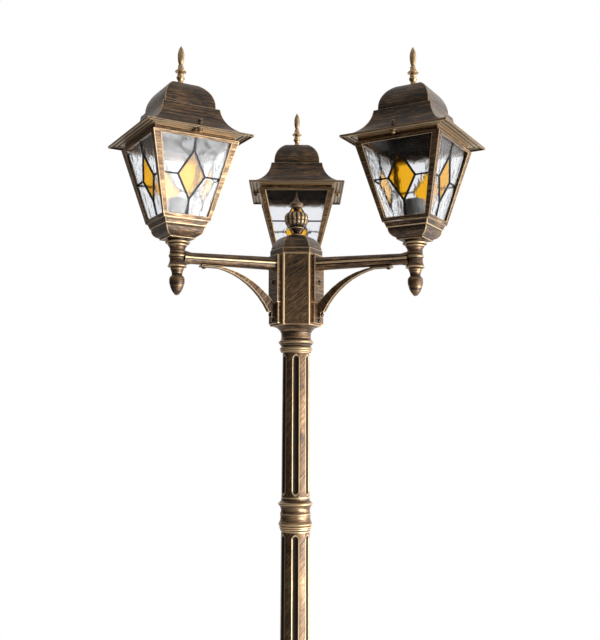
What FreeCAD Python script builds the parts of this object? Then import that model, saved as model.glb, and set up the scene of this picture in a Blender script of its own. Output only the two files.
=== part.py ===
"""Garden lamp post with three lanterns on bracket arms.

Millimetres, +Z up, origin on the ground in the middle of the foot. The rear arm runs along +Y and the
two front arms lie 120 degrees to each side of it. The post is a stack: foot casting, lower pole, collar,
upper pole, hexagonal hub, cap and finial. Each arm ends in an upright eye that a hollow bolt passes
through, from the lantern's tray above to the acorn nut below.
"""
import FreeCAD, Part
import math
import os

V = FreeCAD.Vector
UP = V(0, 0, 1)

# ---- foot casting ----
foot_radius = 118.0
foot_thickness = 9.0
foot_height = 330.0
foot_drum_radius = 66.0
foot_drum_length = 120.0
foot_wall = 6.0
foot_bell_length = 30.0
anchor_circle_diameter = 190.0
anchor_hole_radius = 5.5
anchor_hole_count = 4

# ---- poles ----
lower_pole_length = 1093.0
lower_pole_bottom_radius = 29.0
lower_pole_top_radius = 25.0
upper_pole_length = 256.0
upper_pole_bottom_radius = 24.8
upper_pole_top_radius = 24.0
pole_bore_radius = 19.5
flute_count = 6
flute_width = 12.0
flute_depth = 2.2
flute_end_margin = 12.0

# ---- collar between the poles, and the spigots that centre every joint of the post ----
collar_length = 58.0
collar_rim_radius = 29.6
collar_waist_radius = 27.4
spigot_length = 34.0
spigot_clearance = 0.3
cable_way_radius = 12.0

# ---- hub ----
hub_neck_length = 47.0
hub_side = 46.0
hub_height = 128.0
hub_wall = 4.0
hub_bead_radius = 2.2
hub_floor_thickness = 5.0
hub_wire_hole_radius = 4.5
hub_wire_hole_offset = 9.5
cap_dome_height = 37.0
cap_overhang = 1.5
cap_top_radius = 13.0
cap_wall = 3.5
onion_groove_count = 12
rod_radius = 3.0
thread_clearance = 0.3

# ---- arms ----
arm_reach = 232.0
arm_angles = {"left": 210.0, "right": 330.0, "rear": 90.0}
arm_plate_width = 34.0
arm_plate_height = 86.0
arm_plate_thickness = 8.0
arm_plate_below_hub_top = 2.0
arm_root_radius = 12.0
arm_end_radius = 9.5
arm_root_height = 110.5
arm_droop = 6.0
arm_bead_radius = 1.9
arm_bore_radius = 5.5
eye_height = 40.0
eye_above_arm = 23.5
eye_rim_radius = 16.3
eye_waist_radius = 13.2
eye_flare_length = 13.0

# ---- braces ----
brace_foot_height = 37.0
brace_foot_thickness = 7.0
brace_web_thickness = 9.0
brace_web_depth = 26.0
brace_web_start = 11.2
brace_boss_height = 9.4
brace_boss_length = 6.0
brace_span = 158.0
brace_tab_length = 31.0
brace_tab_width = 15.0
brace_tab_thickness = 3.2

# ---- dome-headed screws ----
screw_radius = 2.5
screw_head_radius = 4.4
screw_head_height = 3.2
screw_bite = 1.5
foot_screw_edge = 5.6
arm_screw_rise = 37.0
tab_screw_inset = 6.0

# ---- hollow bolt and acorn nut under each lantern ----
bolt_radius = 5.0
bolt_bore_radius = 3.0
bolt_head_across_flats = 17.0
bolt_head_height = 5.0
acorn_height = 48.0
acorn_radius = 12.9
acorn_ring_radius = 10.8

# ---- lantern tray ----
tray_foot_radius = 20.7
tray_foot_height = 7.0
tray_height = 28.5
tray_rim_half = 40.6
tray_step_half = 34.9
tray_lip_half = 23.7
tray_step_height = 9.0
tray_wall = 3.0

# ---- lantern cage ----
cage_height = 133.5
cage_bottom_half = 41.9
cage_top_half = 76.6
cage_wall = 4.0
cage_post_top = 13.5
cage_post_bottom = 7.5
cage_top_rail = 4.5
cage_bottom_rail = 6.5
cage_neck_half = 72.0
cage_neck_height = 9.0
cage_neck_wall = 3.0
lug_width = 13.0
lug_thickness = 3.0

# ---- leaded glass ----
glass_thickness = 3.0
glass_seat_gap = 0.2
diamond_half_width = 24.0
diamond_top_drop = 19.0
diamond_side_drop = 61.0
diamond_bottom_drop = 100.0
came_width = 2.8
came_heart = 1.0
came_flange = 0.8

# ---- lantern roof ----
eave_half = 95.0
eave_lip_height = 3.8
eave_lip_drop = 2.3
eave_lip_wall = 2.2
flare_half = 82.0
flare_rise = 5.2
step_half = 52.0
step_rise = 48.0
step_height = 1.8
dome_half = 46.0
dome_top_half = 23.0
dome_height = 46.0
roof_wall = 2.6
roof_boss_radius = 3.7
roof_boss_height = 15.0
roof_rod_hole_radius = 2.5
roof_spear_height = 34.5

# ---- thumb screws that hold the roof to the cage ----
thumb_screw_offset = 86.0
thumb_screw_radius = 2.0
thumb_screw_head_radius = 3.2
thumb_screw_head_height = 5.0
thumb_screw_length = 12.0
running_clearance = 0.3

# ---- lampholder ----
holder_radius = 19.0
holder_height = 62.0
shell_radius = 13.3
shell_wall = 0.8
shell_length = 29.0
shell_recess = 4.0
contact_radius = 9.0
contact_thickness = 1.2

# ---- heights of the stack, from the ground up ----
lower_pole_base = foot_height
collar_base = lower_pole_base + lower_pole_length
upper_pole_base = collar_base + collar_length
neck_base = upper_pole_base + upper_pole_length
hub_base = neck_base + hub_neck_length
cap_base = hub_base + hub_height
hub_apothem = hub_side * math.cos(math.radians(30))
arm_plate_face = hub_apothem + arm_plate_thickness
arm_plate_top = cap_base - arm_plate_below_hub_top
arm_plate_bottom = arm_plate_top - arm_plate_height
arm_root_z = hub_base + arm_root_height
arm_end_z = arm_root_z - arm_droop
lamp_seat_z = arm_end_z + eye_above_arm
spigot_radius = pole_bore_radius - spigot_clearance

# ---- heights inside a lantern, from the top of the arm's eye ----
tray_base = tray_foot_height
cage_base = tray_base + tray_height
cage_top = cage_base + cage_height
roof_seat = cage_top + cage_neck_height
cage_slope = (cage_top_half - cage_bottom_half) / cage_height
slant = math.sqrt(1 + cage_slope ** 2)


def outline(points):
    """Face in the XZ plane. A third value bows the stretch that arrives there, to the right if positive."""
    edges = []
    for start, end in zip(points, points[1:] + points[:1]):
        here = V(start[0], 0, start[1])
        there = V(end[0], 0, end[1])
        bow = end[2] if len(end) > 2 else 0
        if bow:
            run = there - here
            side = V(run.z, 0, -run.x).normalize()
            edges.append(Part.Arc(here, (here + there) * 0.5 + side * bow, there).toShape())
        else:
            edges.append(Part.makeLine(here, there))
    return Part.Face(Part.Wire(edges))


def turned(points):
    """Solid of revolution about Z; the outline runs up the outside."""
    return outline(points).revolve(V(0, 0, 0), UP, 360)


def cylinder(radius, bottom, top, x=0.0, y=0.0):
    return Part.makeCylinder(radius, top - bottom, V(x, y, bottom))


def box(x_low, x_high, y_low, y_high, z_low, z_high):
    return Part.makeBox(x_high - x_low, y_high - y_low, z_high - z_low, V(x_low, y_low, z_low))


def fused(shapes):
    return shapes[0].multiFuse(shapes[1:]).removeSplitter()


def turned_about_z(shape, angle):
    copy = shape.copy()
    copy.rotate(V(0, 0, 0), UP, angle)
    return copy


def around(shape, count):
    """Copies of a shape, evenly spaced about the Z axis."""
    return [turned_about_z(shape, 360.0 * index / count) for index in range(count)]


def vaulted(half_outline, reach, sides):
    """Solid whose plan is a regular polygon at every height, with mitred hips.

    The half outline runs up one side, from the foot of the axis to its top, with x as the apothem.
    """
    mirrored = []
    for here, above in zip(half_outline[1:-1], half_outline[2:]):
        mirrored.insert(0, (-here[0], here[1]) + tuple(above[2:]))
    tunnel = outline(half_outline + mirrored).extrude(V(0, 2 * reach, 0))
    tunnel.translate(V(0, -reach, 0))
    solid = tunnel
    for index in range(1, sides // 2):
        solid = solid.common(turned_about_z(tunnel, 360.0 * index / sides))
    return solid.removeSplitter()


def hexagon(radius, bottom, top):
    """Hexagonal bar with a corner on the X axis."""
    corners = [V(radius * math.cos(math.radians(60 * k)), radius * math.sin(math.radians(60 * k)), bottom)
               for k in range(7)]
    return Part.Face(Part.makePolygon(corners)).extrude(V(0, 0, top - bottom))


def square_frustum(bottom_half, bottom, top_half, top):
    rings = []
    for half, z in ((bottom_half, bottom), (top_half, top)):
        corners = [V(half, half, z), V(-half, half, z), V(-half, -half, z), V(half, -half, z)]
        rings.append(Part.makePolygon(corners + corners[:1]))
    return Part.makeLoft(rings, True, True)


# ---------------------------------------------------------------- post

def foot_casting():
    """Bolted-down flange, ogee, drum between two beads, and a bell that takes the lower pole."""
    top_radius = lower_pole_bottom_radius + 4
    drum_low = foot_thickness + 34
    drum_high = drum_low + foot_drum_length
    bell_top = foot_height - foot_bell_length
    outside = [(0, 0), (foot_radius, 0), (foot_radius, foot_thickness - 2), (foot_radius - 2, foot_thickness, 0.6),
               (foot_radius - 14, foot_thickness), (foot_drum_radius + 10, drum_low - 8, -9),
               (foot_drum_radius + 10, drum_low, 3), (foot_drum_radius, drum_low),
               (foot_drum_radius - 4, drum_high), (foot_drum_radius + 3, drum_high),
               (foot_drum_radius + 3, drum_high + 8, 3), (foot_drum_radius - 6, drum_high + 8),
               (top_radius - 1, bell_top, -14), (top_radius + 3, bell_top), (top_radius + 3, bell_top + 8, 3),
               (top_radius, bell_top + 8), (top_radius, foot_height - 6), (top_radius - 3, foot_height, 0.8),
               (0, foot_height)]
    hollow = [(0, -1), (foot_drum_radius - foot_wall, -1), (foot_drum_radius - 4 - foot_wall, drum_high),
              (cable_way_radius + 6, drum_high + 60, -4), (cable_way_radius, bell_top), (0, bell_top)]
    body = turned(outside)
    body = body.cut(turned(hollow))
    body = body.cut(cylinder(cable_way_radius, 0, foot_height + 1))
    anchor_hole = cylinder(anchor_hole_radius, -1, foot_thickness + 1, anchor_circle_diameter / 2)
    for hole in around(anchor_hole, anchor_hole_count):
        body = body.cut(hole)
    spigot = cylinder(spigot_radius, foot_height - 1, foot_height + spigot_length)
    spigot = spigot.cut(cylinder(cable_way_radius, foot_height - 2, foot_height + spigot_length + 1))
    return fused([body, spigot])


def fluted_pole(length, bottom_radius, top_radius, base):
    """Tapered tube with round-ended flutes down its outside."""
    pole = Part.makeCone(bottom_radius, top_radius, length, V(0, 0, base))
    pole = pole.cut(cylinder(pole_bore_radius, base - 1, base + length + 1))
    cutter_radius = (flute_width ** 2 / 4 + flute_depth ** 2) / (2 * flute_depth)
    taper = (bottom_radius - top_radius) / length
    low = flute_end_margin
    high = length - flute_end_margin
    end_bow = cutter_radius * (1 - math.sqrt(0.5))
    cutter = turned([(0, low - cutter_radius), (cutter_radius, low, end_bow), (cutter_radius, high),
                     (0, high + cutter_radius, end_bow)])
    cutter.rotate(V(0, 0, 0), V(0, 1, 0), -math.degrees(math.atan(taper)))
    cutter.translate(V(bottom_radius + cutter_radius - flute_depth, 0, base))
    for flute in around(turned_about_z(cutter, -90), flute_count):
        pole = pole.cut(flute)
    return pole


def collar():
    """Turned ring between the poles, with a spigot up and a spigot down."""
    rim = collar_rim_radius
    waist = collar_waist_radius
    top = collar_length
    outside = [(0, 0), (lower_pole_top_radius + 0.6, 0), (waist, 4), (waist, 6), (waist, 9, 1.5), (rim - 0.6, 10.5),
               (rim, 14, 0.8), (waist, 30, -2), (rim - 0.6, 45, -2.5), (rim - 0.6, 50, 1.6),
               (upper_pole_bottom_radius + 2, 52), (upper_pole_bottom_radius + 0.6, top - 2, -0.8),
               (upper_pole_bottom_radius + 0.6, top), (spigot_radius, top),
               (spigot_radius, top + spigot_length), (0, top + spigot_length)]
    body = turned(outside)
    body = body.fuse(cylinder(spigot_radius, -spigot_length, 1))
    body = body.cut(cylinder(cable_way_radius, -spigot_length - 1, top + spigot_length + 1)).removeSplitter()
    body.translate(V(0, 0, collar_base))
    return body


def hub_body():
    """Hexagonal box with beaded corners over a turned neck that plugs into the upper pole."""
    mouth = hub_side - 5
    bead = upper_pole_top_radius + 2.6
    neck = [(0, 0), (bead - 0.6, 0), (bead + 1.4, 4, 1.2), (bead + 1.4, 9, 1.4), (bead, 11), (bead + 1, 13),
            (bead + 3, 15.5), (bead + 3, 21, 1.8), (bead + 0.7, 23), (bead + 0.7, 36, -0.6),
            (bead + 2, 38), (mouth, hub_neck_length, -1.6), (0, hub_neck_length)]
    body = turned(neck)
    body = body.fuse(cylinder(spigot_radius, -spigot_length, 1))
    body.translate(V(0, 0, neck_base))
    walls = hexagon(hub_side, hub_base, cap_base)
    hollow = hexagon(hub_side - hub_wall / math.cos(math.radians(30)), hub_base + hub_floor_thickness, cap_base + 1)
    bead_rib = cylinder(hub_bead_radius, hub_base, cap_base, hub_side - hub_bead_radius / 2)
    walls = fused([walls] + around(bead_rib, 6)).cut(hollow)
    body = fused([body, walls])
    way = cylinder(cable_way_radius, neck_base - spigot_length - 1, hub_base - 8)
    side_way = cylinder(hub_wire_hole_radius, hub_base - 12, hub_base + hub_floor_thickness + 1, 0,
                        hub_wire_hole_offset)
    tapped = cylinder(rod_radius + thread_clearance / 3, hub_base - 7, hub_base + hub_floor_thickness + 1)
    body = body.cut(way).cut(tapped)
    for hole in around(side_way, 2):
        body = body.cut(hole)
    for angle in arm_angles.values():
        for hole in hub_screw_places(screw_radius + thread_clearance / 3):
            body = body.cut(turned_about_z(hole, angle))
        body = body.cut(turned_about_z(wire_way(hub_apothem - 2 * hub_wall, hub_apothem + 1), angle))
    return body


def wire_way(start, end):
    """Bore along an arm's axis, lying along +X."""
    return Part.makeCylinder(arm_bore_radius, end - start, V(start, 0, arm_root_z), V(1, 0, 0))


def hub_screw_heights():
    """Heights of the screws on one arm face: in the arm's plate, the brace's boss and the brace's foot."""
    return [arm_plate_bottom + arm_screw_rise, brace_web_low() + brace_boss_height / 2,
            brace_foot_bottom() + foot_screw_edge]


def brace_foot_top():
    return arm_plate_bottom - running_clearance


def brace_foot_bottom():
    return brace_foot_top() - brace_foot_height


def brace_web_low():
    return brace_foot_top() - brace_web_depth


def hub_screw_places(radius):
    """Holes through a hub wall and the plates on it, lying along +X."""
    start = hub_apothem - 2 * hub_wall
    reach = 2 * hub_wall + brace_foot_thickness + brace_boss_length + 1
    return [Part.makeCylinder(radius, reach, V(start, 0, z), V(1, 0, 0)) for z in hub_screw_heights()]


def hub_cap():
    """Hexagonal dome with a low upright border, hollow below, on the hub's rim."""
    border = 10.0
    apothem = hub_apothem + cap_overhang
    half = [(0, 0), (apothem, 0), (apothem, border), (apothem - 1.4, border + 1.2),
            (cap_top_radius, cap_dome_height, 7.2), (0, cap_dome_height)]
    inner = [(0, -1), (apothem - cap_wall - 2, -1), (apothem - cap_wall - 2, border),
             (cap_top_radius - 1, cap_dome_height - cap_wall, 6.4), (0, cap_dome_height - cap_wall)]
    cap = vaulted(half, 2 * hub_side, 6).cut(vaulted(inner, 2 * hub_side, 6))
    cap = turned_about_z(cap, 30).cut(cylinder(rod_radius + thread_clearance, 0, cap_dome_height + 1))
    cap.translate(V(0, 0, cap_base))
    return cap


def hub_finial():
    """Turned knob: foot, fluted onion, collar of the spike and the spike itself."""
    groove_radius = 2.6
    groove_depth = 1.5
    onion_low = 19.0
    onion_high = 44.0
    onion_radius = 21.0
    profile = [(0, 0), (11, 0), (11, 3.5, 0.8), (6.5, 6), (6.5, 9, -0.6), (12.5, 14), (12.5, onion_low - 3, 0.8),
               (7.5, onion_low - 1), (7.5, onion_low), (onion_radius, onion_low + 10, 5.2),
               (8, onion_high, 6.6), (5.8, onion_high + 4), (6.2, onion_high + 7, -0.5), (8.6, onion_high + 9),
               (11.6, onion_high + 13, 1.2), (10.6, onion_high + 18, 0.8), (4.2, onion_high + 24, -1.6),
               (0.6, onion_high + 37, -0.5), (0, onion_high + 37)]
    knob = turned(profile)
    groove = cylinder(groove_radius, onion_low, onion_high, onion_radius + 1.8 + groove_radius - groove_depth)
    for cutter in around(groove, onion_groove_count):
        knob = knob.cut(cutter)
    knob = knob.cut(cylinder(rod_radius + thread_clearance / 3, -1, 14))
    knob.translate(V(0, 0, cap_base + cap_dome_height))
    return knob


def hub_rod():
    """Threaded rod from the hub's floor to the finial; it draws the cap down."""
    return cylinder(rod_radius, hub_base - 5, cap_base + cap_dome_height + 12)


def terminal_block():
    """Three-pole cable connector on the hub's floor, behind the rod."""
    floor = hub_base + hub_floor_thickness
    block = box(-17, 17, -30, -17, floor, floor + 14)
    for x in (-11, 0, 11):
        block = block.cut(cylinder(2.2, floor + 6, floor + 15, x, -20.5))
        block = block.cut(Part.makeCylinder(2.0, 15, V(x, -31, floor + 5), V(0, 1, 0)))
    return block


# ---------------------------------------------------------------- arms, drawn along +X

def arm_axis_z(x):
    """Height of the arm's axis, which droops a little from the hub to the eye."""
    return arm_root_z - arm_droop * (x - arm_plate_face) / (arm_reach - arm_plate_face)


def arm_radius(x):
    return arm_root_radius + (arm_end_radius - arm_root_radius) * (x - arm_plate_face) / (arm_reach - arm_plate_face)


def arm_underside(x):
    return arm_axis_z(x) - arm_radius(x)


def arm():
    """Hub plate, tapered tube with a bead along each side, flare and upright eye, in one casting."""
    half = arm_plate_width / 2
    plate = box(hub_apothem, arm_plate_face, -half, half, arm_plate_bottom, arm_plate_top)
    start = V(hub_apothem + 1, 0, arm_axis_z(hub_apothem + 1))
    run = V(arm_reach, 0, arm_end_z) - start
    tube = Part.makeCone(arm_root_radius, arm_end_radius, run.Length, start, run)
    root_ring = Part.makeCone(arm_root_radius + 3, arm_root_radius, 9, start, run)
    flare_start = V(arm_reach - eye_waist_radius - eye_flare_length, 0,
                    arm_axis_z(arm_reach - eye_waist_radius - eye_flare_length))
    flare = Part.makeCone(arm_end_radius, eye_waist_radius, eye_flare_length + 4, flare_start, run)
    beads = []
    for side in (-1, 1):
        root = start + V(0, side * (arm_root_radius - 0.6), 0)
        tip = V(arm_reach - eye_waist_radius, side * (arm_end_radius - 0.6), arm_axis_z(arm_reach - eye_waist_radius))
        beads.append(Part.makeCylinder(arm_bead_radius, (tip - root).Length, root, tip - root))
    low = lamp_seat_z - eye_height
    eye = turned([(0, low), (eye_rim_radius, low), (eye_rim_radius, low + 1.6), (eye_waist_radius, low + 16, -1.4),
                  (eye_waist_radius + 0.9, low + 17), (eye_waist_radius + 0.9, low + 21, 0.7),
                  (eye_waist_radius, low + 22), (eye_waist_radius, low + 27), (eye_rim_radius - 0.4, low + 36, -1.2),
                  (eye_rim_radius - 0.4, lamp_seat_z - 1.2, 0.5), (eye_rim_radius - 1.6, lamp_seat_z),
                  (0, lamp_seat_z)])
    eye.translate(V(arm_reach, 0, 0))
    body = fused([plate, root_ring, tube, flare, eye] + beads)
    body = body.cut(Part.makeCylinder(arm_bore_radius, run.Length, start - V(3, 0, 0), run))
    body = body.cut(cylinder(bolt_radius + thread_clearance, low - 1, lamp_seat_z + 1, arm_reach))
    for hole in hub_screw_places(screw_radius + thread_clearance):
        body = body.cut(hole)
    for hole in tab_screw_hole(screw_radius + thread_clearance / 3):
        body = body.cut(hole)
    return body


def tab_screw_x():
    return brace_span + brace_tab_length - tab_screw_inset


def tab_screw_hole(radius):
    """Upright hole through the brace's tab and into the underside of the arm."""
    x = tab_screw_x()
    top = arm_underside(x) + 2 * screw_bite + 1
    return [cylinder(radius, top - 14, top, x)]


def brace():
    """Foot plate on the hub, crescent web with a screw boss at its root, and thin tab under the arm."""
    half = arm_plate_width / 2
    top = brace_foot_top()
    foot = box(hub_apothem, hub_apothem + brace_foot_thickness, -half, half, brace_foot_bottom(), top)
    face = hub_apothem + brace_foot_thickness
    tab_end = brace_span + brace_tab_length

    def tab_top(x):
        return arm_underside(x) - running_clearance

    web_low = brace_web_low()
    boss_top = web_low + brace_boss_height
    web_root = arm_plate_face + running_clearance
    web = outline([(hub_apothem + 1, web_low), (face + brace_boss_length, web_low),
                   (face + brace_boss_length, boss_top), (face + brace_web_start, boss_top),
                   (brace_span, tab_top(brace_span) - brace_tab_thickness, -14.3),
                   (tab_end, tab_top(tab_end) - brace_tab_thickness), (tab_end, tab_top(tab_end)),
                   (brace_span, tab_top(brace_span)), (web_root, top, 12.5), (hub_apothem + 1, top)])
    web = web.extrude(V(0, brace_web_thickness, 0))
    web.translate(V(0, -brace_web_thickness / 2, 0))
    tab = outline([(brace_span - 8, tab_top(brace_span - 8) - brace_tab_thickness),
                   (tab_end, tab_top(tab_end) - brace_tab_thickness), (tab_end, tab_top(tab_end)),
                   (brace_span - 8, tab_top(brace_span - 8))]).extrude(V(0, brace_tab_width, 0))
    tab.translate(V(0, -brace_tab_width / 2, 0))
    body = fused([foot, web, tab])
    for hole in hub_screw_places(screw_radius + thread_clearance):
        body = body.cut(hole)
    for hole in tab_screw_hole(screw_radius + thread_clearance):
        body = body.cut(hole)
    return body


def dome_screw(length):
    """Screw along +Z: shank below z = 0 and a domed head above it."""
    return turned([(0, -length), (screw_radius, -length), (screw_radius, 0), (screw_head_radius, 0),
                   (screw_radius / 5, screw_head_height, 1.0), (0, screw_head_height)])


def arm_screws():
    """Every dome-headed screw of the three arms, as separate solids."""
    plate_screw, upper_foot_screw, lower_foot_screw = hub_screw_heights()
    screws = []
    for angle in arm_angles.values():
        for z, seat in ((plate_screw, arm_plate_thickness), (lower_foot_screw, brace_foot_thickness),
                        (upper_foot_screw, brace_foot_thickness + brace_boss_length)):
            screw = dome_screw(seat + hub_wall + screw_bite)
            screw.rotate(V(0, 0, 0), V(0, 1, 0), 90)
            screw.translate(V(hub_apothem + seat, 0, z))
            screws.append(turned_about_z(screw, angle))
        x = tab_screw_x()
        screw = dome_screw(brace_tab_thickness + running_clearance + screw_bite)
        screw.rotate(V(0, 0, 0), V(1, 0, 0), 180)
        seat = arm_underside(x + screw_head_radius) - running_clearance - brace_tab_thickness
        screw.translate(V(x, 0, seat))
        screws.append(turned_about_z(screw, angle))
    return Part.makeCompound(screws)


# ---------------------------------------------------------------- lantern, about its own axis

def acorn_nut():
    """Ring, neck and acorn on the end of the hollow bolt."""
    top = -eye_height
    tip = top - acorn_height
    nut = turned([(0, tip), (0.6, tip), (3.4, tip + 1.2, 0.3), (acorn_radius - 1.2, tip + 17, 1.3),
                  (acorn_radius, tip + 26, 0.6), (acorn_radius - 3.6, tip + 33, 1.3), (acorn_radius - 4.2, tip + 36),
                  (acorn_ring_radius - 0.8, top - 6.5), (acorn_ring_radius, top - 5), (acorn_ring_radius, top - 1, 0.6),
                  (acorn_ring_radius - 0.8, top), (0, top)])
    return nut.cut(cylinder(bolt_radius + thread_clearance / 3, top - 20, top + 1))


def hollow_bolt():
    """Hexagon-headed bolt with a cable bore, from the tray's floor to the acorn nut."""
    floor = tray_base + tray_wall
    head = hexagon(bolt_head_across_flats / 2 / math.cos(math.radians(30)), floor, floor + bolt_head_height)
    body = fused([head, cylinder(bolt_radius, -eye_height - 18, floor + 1)])
    return body.cut(cylinder(bolt_bore_radius, -eye_height - 19, floor + bolt_head_height + 1))


def tray():
    """Square stepped pan under the cage, on a round foot, with a wall of even thickness."""
    top = cage_base
    step = top - tray_step_height
    outside = [(0, tray_base), (tray_lip_half, tray_base), (tray_lip_half, tray_base + 2.4),
               (tray_lip_half + 1.2, tray_base + 3.4), (tray_step_half, step - 3, 2.4), (tray_step_half, step - 1),
               (tray_step_half + 1.7, step), (tray_rim_half - 1.6, top - 2), (tray_rim_half, top), (0, top)]
    inside = [(0, tray_base + tray_wall), (tray_lip_half - 1.6, tray_base + tray_wall),
              (tray_step_half - tray_wall, step - 3, 1.8), (tray_rim_half - 2 * tray_wall, top + 1), (0, top + 1)]
    pan = vaulted(outside, 2 * tray_rim_half, 4).cut(vaulted(inside, 2 * tray_rim_half, 4))
    foot = turned([(0, 0), (tray_foot_radius - 1, 0), (tray_foot_radius, 1, 0.3), (tray_foot_radius, 3, 0.4),
                   (tray_foot_radius - 3.6, 4.2), (tray_foot_radius - 3.6, tray_base + 1), (0, tray_base + 1)])
    return fused([pan, foot]).cut(cylinder(bolt_radius + thread_clearance, -1, tray_base + tray_wall + 1))


def cage_half(z):
    """Half width of the cage's outside at a height."""
    return cage_bottom_half + cage_slope * (z - cage_base)


def cage():
    """Tapered frame with four windows, an upright neck for the roof and a lug on two sides."""
    outer = square_frustum(cage_bottom_half, cage_base, cage_top_half, cage_top)
    wall = cage_wall * slant
    inner = square_frustum(cage_bottom_half - wall - cage_slope, cage_base - 1,
                           cage_top_half - wall + cage_slope, cage_top + 1)
    frame = outer.cut(inner)
    low = cage_base + cage_bottom_rail
    high = cage_top - cage_top_rail
    low_half = cage_half(low) - cage_post_bottom
    high_half = cage_half(high) - cage_post_top
    window = Part.Face(Part.makePolygon([V(-low_half, 0, low), V(low_half, 0, low), V(high_half, 0, high),
                                         V(-high_half, 0, high), V(-low_half, 0, low)]))
    window = window.extrude(V(0, -2 * cage_top_half, 0))
    for cutter in around(window, 4):
        frame = frame.cut(cutter)
    neck = box(-cage_neck_half, cage_neck_half, -cage_neck_half, cage_neck_half, cage_top - 1.5, roof_seat)
    hollow = cage_neck_half - cage_neck_wall
    neck = neck.cut(box(-hollow, hollow, -hollow, hollow, cage_top - 2, roof_seat + 1))
    shelf = square_frustum(cage_half(cage_top - 1.5), cage_top - 1.5, cage_top_half, cage_top)
    shelf = shelf.cut(box(-hollow, hollow, -hollow, hollow, cage_top - 2, roof_seat + 1))
    lug_top = roof_seat - running_clearance
    lug = box(-lug_width / 2, lug_width / 2, cage_neck_half - 1, thumb_screw_offset, lug_top - lug_thickness, lug_top)
    lug = lug.fuse(cylinder(lug_width / 2 - 1.6, lug_top - lug_thickness, lug_top, 0, thumb_screw_offset))
    lug = lug.cut(cylinder(thumb_screw_radius + running_clearance, cage_top, roof_seat, 0, thumb_screw_offset))
    return fused([frame, shelf, neck] + around(lug, 2))


def panel_outline(low, high, margin, y):
    """Trapezium of one leaded panel, drawn flat: x across, z up the slope from the cage's foot."""
    def half(z):
        return cage_bottom_half + cage_slope * z / slant - margin
    corners = [V(-half(low), y, low), V(half(low), y, low), V(half(high), y, high), V(-half(high), y, high)]
    return Part.Face(Part.makePolygon(corners + corners[:1]))


def came_lines():
    """End points of the came on one panel: the diamond and the four lines from its corners."""
    top = (cage_height - cage_top_rail) * slant
    apex = (0, top - diamond_top_drop)
    foot = (0, top - diamond_bottom_drop)
    left = (-diamond_half_width, top - diamond_side_drop)
    right = (diamond_half_width, top - diamond_side_drop)
    far = 2 * cage_top_half
    return [(apex, left), (left, foot), (foot, right), (right, apex), (apex, (0, far)), (foot, (0, -far)),
            (left, (-far, left[1])), (right, (far, right[1]))]


def came_strips(width, y_low, y_high):
    """The came of one panel as flat strips of one width, over a span of depth."""
    strips = []
    for (x1, z1), (x2, z2) in came_lines():
        length = math.hypot(x2 - x1, z2 - z1)
        strip = box(0, length, y_low, y_high, -width / 2, width / 2)
        strip = strip.fuse(Part.makeCylinder(width / 2, y_high - y_low, V(0, y_low, 0), V(0, 1, 0)))
        strip.rotate(V(0, 0, 0), V(0, 1, 0), -math.degrees(math.atan2(z2 - z1, x2 - x1)))
        strip.translate(V(x1, 0, z1))
        strips.append(strip)
    return fused(strips)


def leaded_panel():
    """Clear quarries, amber diamond and H-section came of one side, standing inside the cage's wall."""
    back = cage_wall * slant
    low = glass_seat_gap
    high = cage_height * slant - 3
    margin = back + glass_thickness * slant + 1
    pane = panel_outline(low, high, margin, 0).extrude(V(0, glass_thickness, 0))
    trimmed = panel_outline(low, high, margin + 0.5, -came_flange)
    trimmed = trimmed.extrude(V(0, glass_thickness + 2 * came_flange, 0))
    heart = came_strips(came_heart, 0, glass_thickness)
    front = came_strips(came_width, -came_flange, 0)
    rear = came_strips(came_width, glass_thickness, glass_thickness + came_flange)
    came = fused([heart, front, rear]).common(trimmed)
    pieces = pane.cut(heart).Solids
    amber = [piece for piece in pieces if abs(piece.CenterOfMass.x) < 1]
    clear = [piece for piece in pieces if abs(piece.CenterOfMass.x) >= 1]
    return clear, amber, [came]


def stood_on_cage(shape, angle):
    """Leans a flat panel against the inside of one cage wall."""
    copy = shape.copy()
    copy.rotate(V(0, 0, 0), V(1, 0, 0), math.degrees(math.atan(cage_slope)))
    inset = (cage_wall + glass_seat_gap + came_flange) * slant
    copy.translate(V(0, -cage_bottom_half + inset, cage_base))
    return turned_about_z(copy, angle)


def glazing():
    """Clear pieces, amber pieces and came of all four sides."""
    groups = []
    for kind in leaded_panel():
        groups.append(Part.makeCompound([stood_on_cage(piece, 90 * side) for side in range(4) for piece in kind]))
    return groups


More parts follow.
